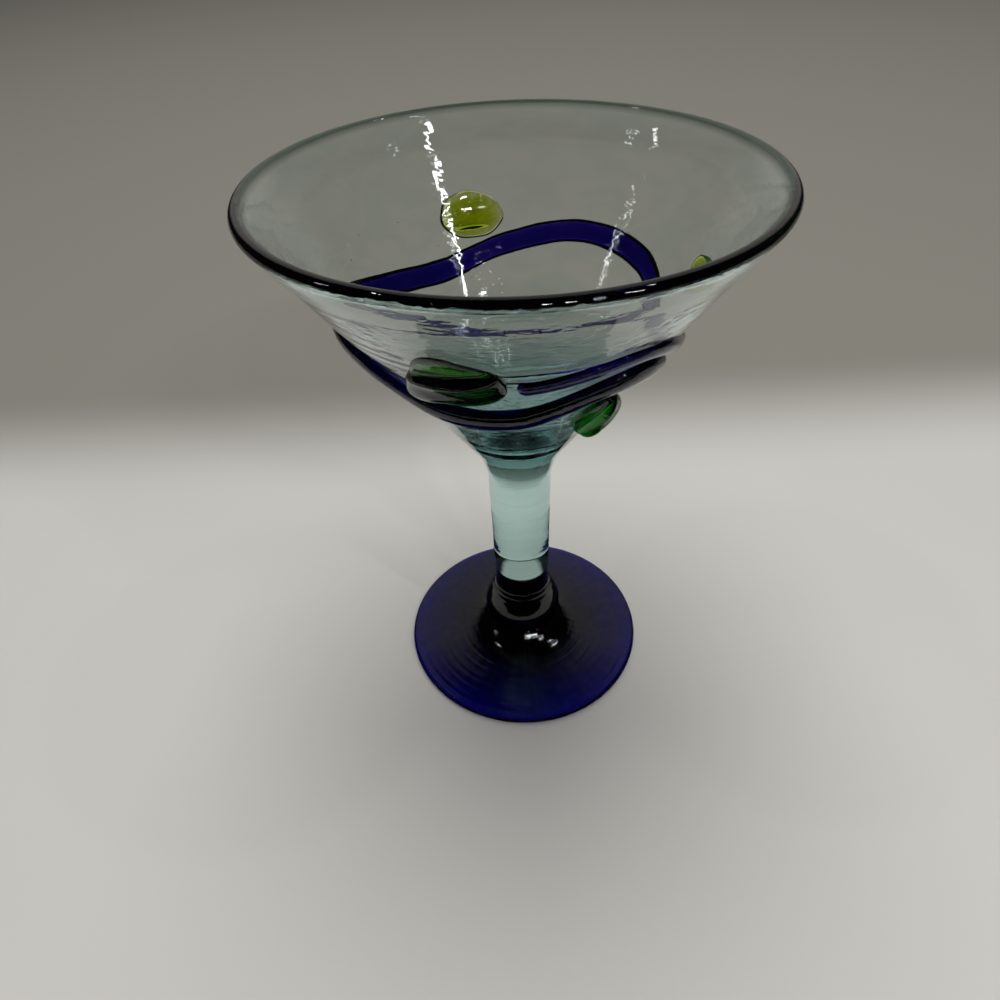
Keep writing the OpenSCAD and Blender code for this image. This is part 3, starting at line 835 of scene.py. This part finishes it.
# Straight on, and through the glass near the level, the room is plain and pale
path = add(tree, "ShaderNodeLightPath").outputs
height = add(tree, "ShaderNodeSeparateXYZ", {0: toward})
low = add(tree, "ShaderNodeMapRange", {
    "Value": height.outputs["Z"], "From Min": 0.2, "From Max": 0.35, "To Min": 1.0, "To Max": 0.0})
through = add(tree, "ShaderNodeMath", {0: path["Glossy Depth"], 1: 0.5}, operation="LESS_THAN")
not_spread = add(tree, "ShaderNodeMath", {0: path["Diffuse Depth"], 1: 0.5},
                 operation="LESS_THAN")
plain = add(tree, "ShaderNodeMath", {0: low.outputs["Result"], 1: through.outputs[0]},
            operation="MULTIPLY")
plain = add(tree, "ShaderNodeMath", {0: plain.outputs[0], 1: not_spread.outputs[0]},
            operation="MULTIPLY")
seen = add(tree, "ShaderNodeMath", {0: plain.outputs[0], 1: path["Is Camera Ray"]},
           operation="MAXIMUM")
sky = add(tree, "ShaderNodeMix", {0: seen.outputs[0], 6: wall.outputs["Color"],
                                  7: linear("#b4b2ad")}, data_type="RGBA")
air = add(tree, "ShaderNodeBackground", {"Color": sky.outputs[2], "Strength": 1.0})
add(tree, "ShaderNodeOutputWorld", {"Surface": air.outputs[0]})


def soft_box(name, place, toward_point, wide, tall, watts):
    lamp = bpy.data.lights.new(name, "AREA")
    lamp.shape = "RECTANGLE"
    lamp.size, lamp.size_y, lamp.energy = wide, tall, watts
    box = bpy.data.objects.new(name, lamp)
    box.location = place
    box.rotation_euler = (Vector(toward_point) - Vector(place)).to_track_quat(
        "-Z", "Y").to_euler()
    bpy.context.scene.collection.objects.link(box)
    return box


middle_of_bowl = Vector((0, 0, 0.12))


def from_bowl(turn_deg, height_deg, distance):
    """A place seen from the bowl: turned from the viewer's side to the right, and raised."""
    turn, height = math.radians(turn_deg), math.radians(height_deg)
    return middle_of_bowl + distance * Vector((
        math.sin(turn) * math.cos(height), -math.cos(turn) * math.cos(height),
        math.sin(height)))


# The big box lights the table softly. No mirror image of it lies on the dark glass
big_box = soft_box("overhead", from_bowl(180, 78, 2.4), middle_of_bowl, 1.8, 1.8, 47)
big_box.visible_glossy = False
big_box.visible_transmission = False
soft_box("left_lamp_high", from_bowl(-95, 60, 1.6), middle_of_bowl, 0.07, 0.07, 0.8)
soft_box("right_lamp_high", from_bowl(95, 60, 1.6), middle_of_bowl, 0.07, 0.07, 0.8)
soft_box("right_lamp", from_bowl(49, 42, 1.3), middle_of_bowl, 0.022, 0.36, 1.3)
soft_box("left_lamp", from_bowl(-86, 33, 1.4), middle_of_bowl, 0.02, 0.20, 0.25)
soft_box("front_lamp_1", from_bowl(10, 37, 1.2), middle_of_bowl, 0.04, 0.04, 0.7)
soft_box("front_lamp_2", from_bowl(20, 37, 1.2), middle_of_bowl, 0.04, 0.04, 0.7)
soft_box("front_lamp_3", from_bowl(31, 37, 1.2), middle_of_bowl, 0.10, 0.04, 1.4)

# A dark card stands in front, below the camera's view
card_mesh = bpy.data.meshes.new("dark_card")
card_half_w, card_y, card_h = 0.6, -0.17, 0.1
card_points = [(-card_half_w, card_y, 0), (card_half_w, card_y, 0),
               (card_half_w, card_y, card_h), (-card_half_w, card_y, card_h)]
card_faces = [(0, 1, 2, 3)]
# A ring of the same felt lies round the foot
felt_in_r, felt_out_r, felt_z, felt_steps = 45.5 * mm, 75 * mm, 0.05 * mm, 64
for i in range(felt_steps):
    turn = i * 2 * math.pi / felt_steps
    card_points += [(r * math.cos(turn), r * math.sin(turn), felt_z)
                    for r in (felt_in_r, felt_out_r)]
    here, beside = 4 + 2 * i, 4 + 2 * ((i + 1) % felt_steps)
    card_faces.append((here, here + 1, beside + 1, beside))
card_mesh.from_pydata(card_points, [], card_faces)
dark_card = bpy.data.objects.new("dark_card", card_mesh)
bpy.context.scene.collection.objects.link(dark_card)
# Black felt: it swallows nearly all light, and its nap is too fine to see
black_felt = bpy.data.materials.new("black_felt")
black_felt.use_nodes = True
tree = black_felt.node_tree
tree.nodes.clear()
nap = add(tree, "ShaderNodeTexNoise", {
    "Vector": add(tree, "ShaderNodeTexCoord").outputs["Object"], "Scale": 300.0})
felt = add(tree, "ShaderNodeValToRGB", {"Fac": nap.outputs["Fac"]})
felt.color_ramp.elements[0].color = linear("#141414")
felt.color_ramp.elements[1].color = linear("#1c1c1c")
cloth = add(tree, "ShaderNodeBsdfPrincipled", {
    "Base Color": felt.outputs["Color"], "Roughness": 1.0})
add(tree, "ShaderNodeOutputMaterial", {"Surface": cloth.outputs[0]})
card_mesh.materials.append(black_felt)
dark_card.visible_camera = False
dark_card.visible_diffuse = False
dark_card.visible_transmission = False
dark_card.visible_shadow = False

camera_data = bpy.data.cameras.new("camera")
camera_data.sensor_width = 36
camera_data.lens = 26.02
camera_data.clip_start = 0.01
camera = bpy.data.objects.new("camera", camera_data)
bpy.context.scene.collection.objects.link(camera)
pitch, roll = math.radians(-42.34), math.radians(-2.95)
ahead = Vector((0, math.cos(pitch), math.sin(pitch)))
level = Vector((1, 0, 0))
upward = level.cross(ahead)
right = level * math.cos(roll) + upward * math.sin(roll)
top = upward * math.cos(roll) - level * math.sin(roll)
camera_place = (-0.0069, -0.1832, 0.2372)
camera.matrix_world = Matrix.Translation(camera_place) @ Matrix(
    (right, top, -ahead)).transposed().to_4x4()
bpy.context.scene.camera = camera
bpy.context.scene.view_settings.view_transform = "Standard"

bpy.context.view_layer.update()
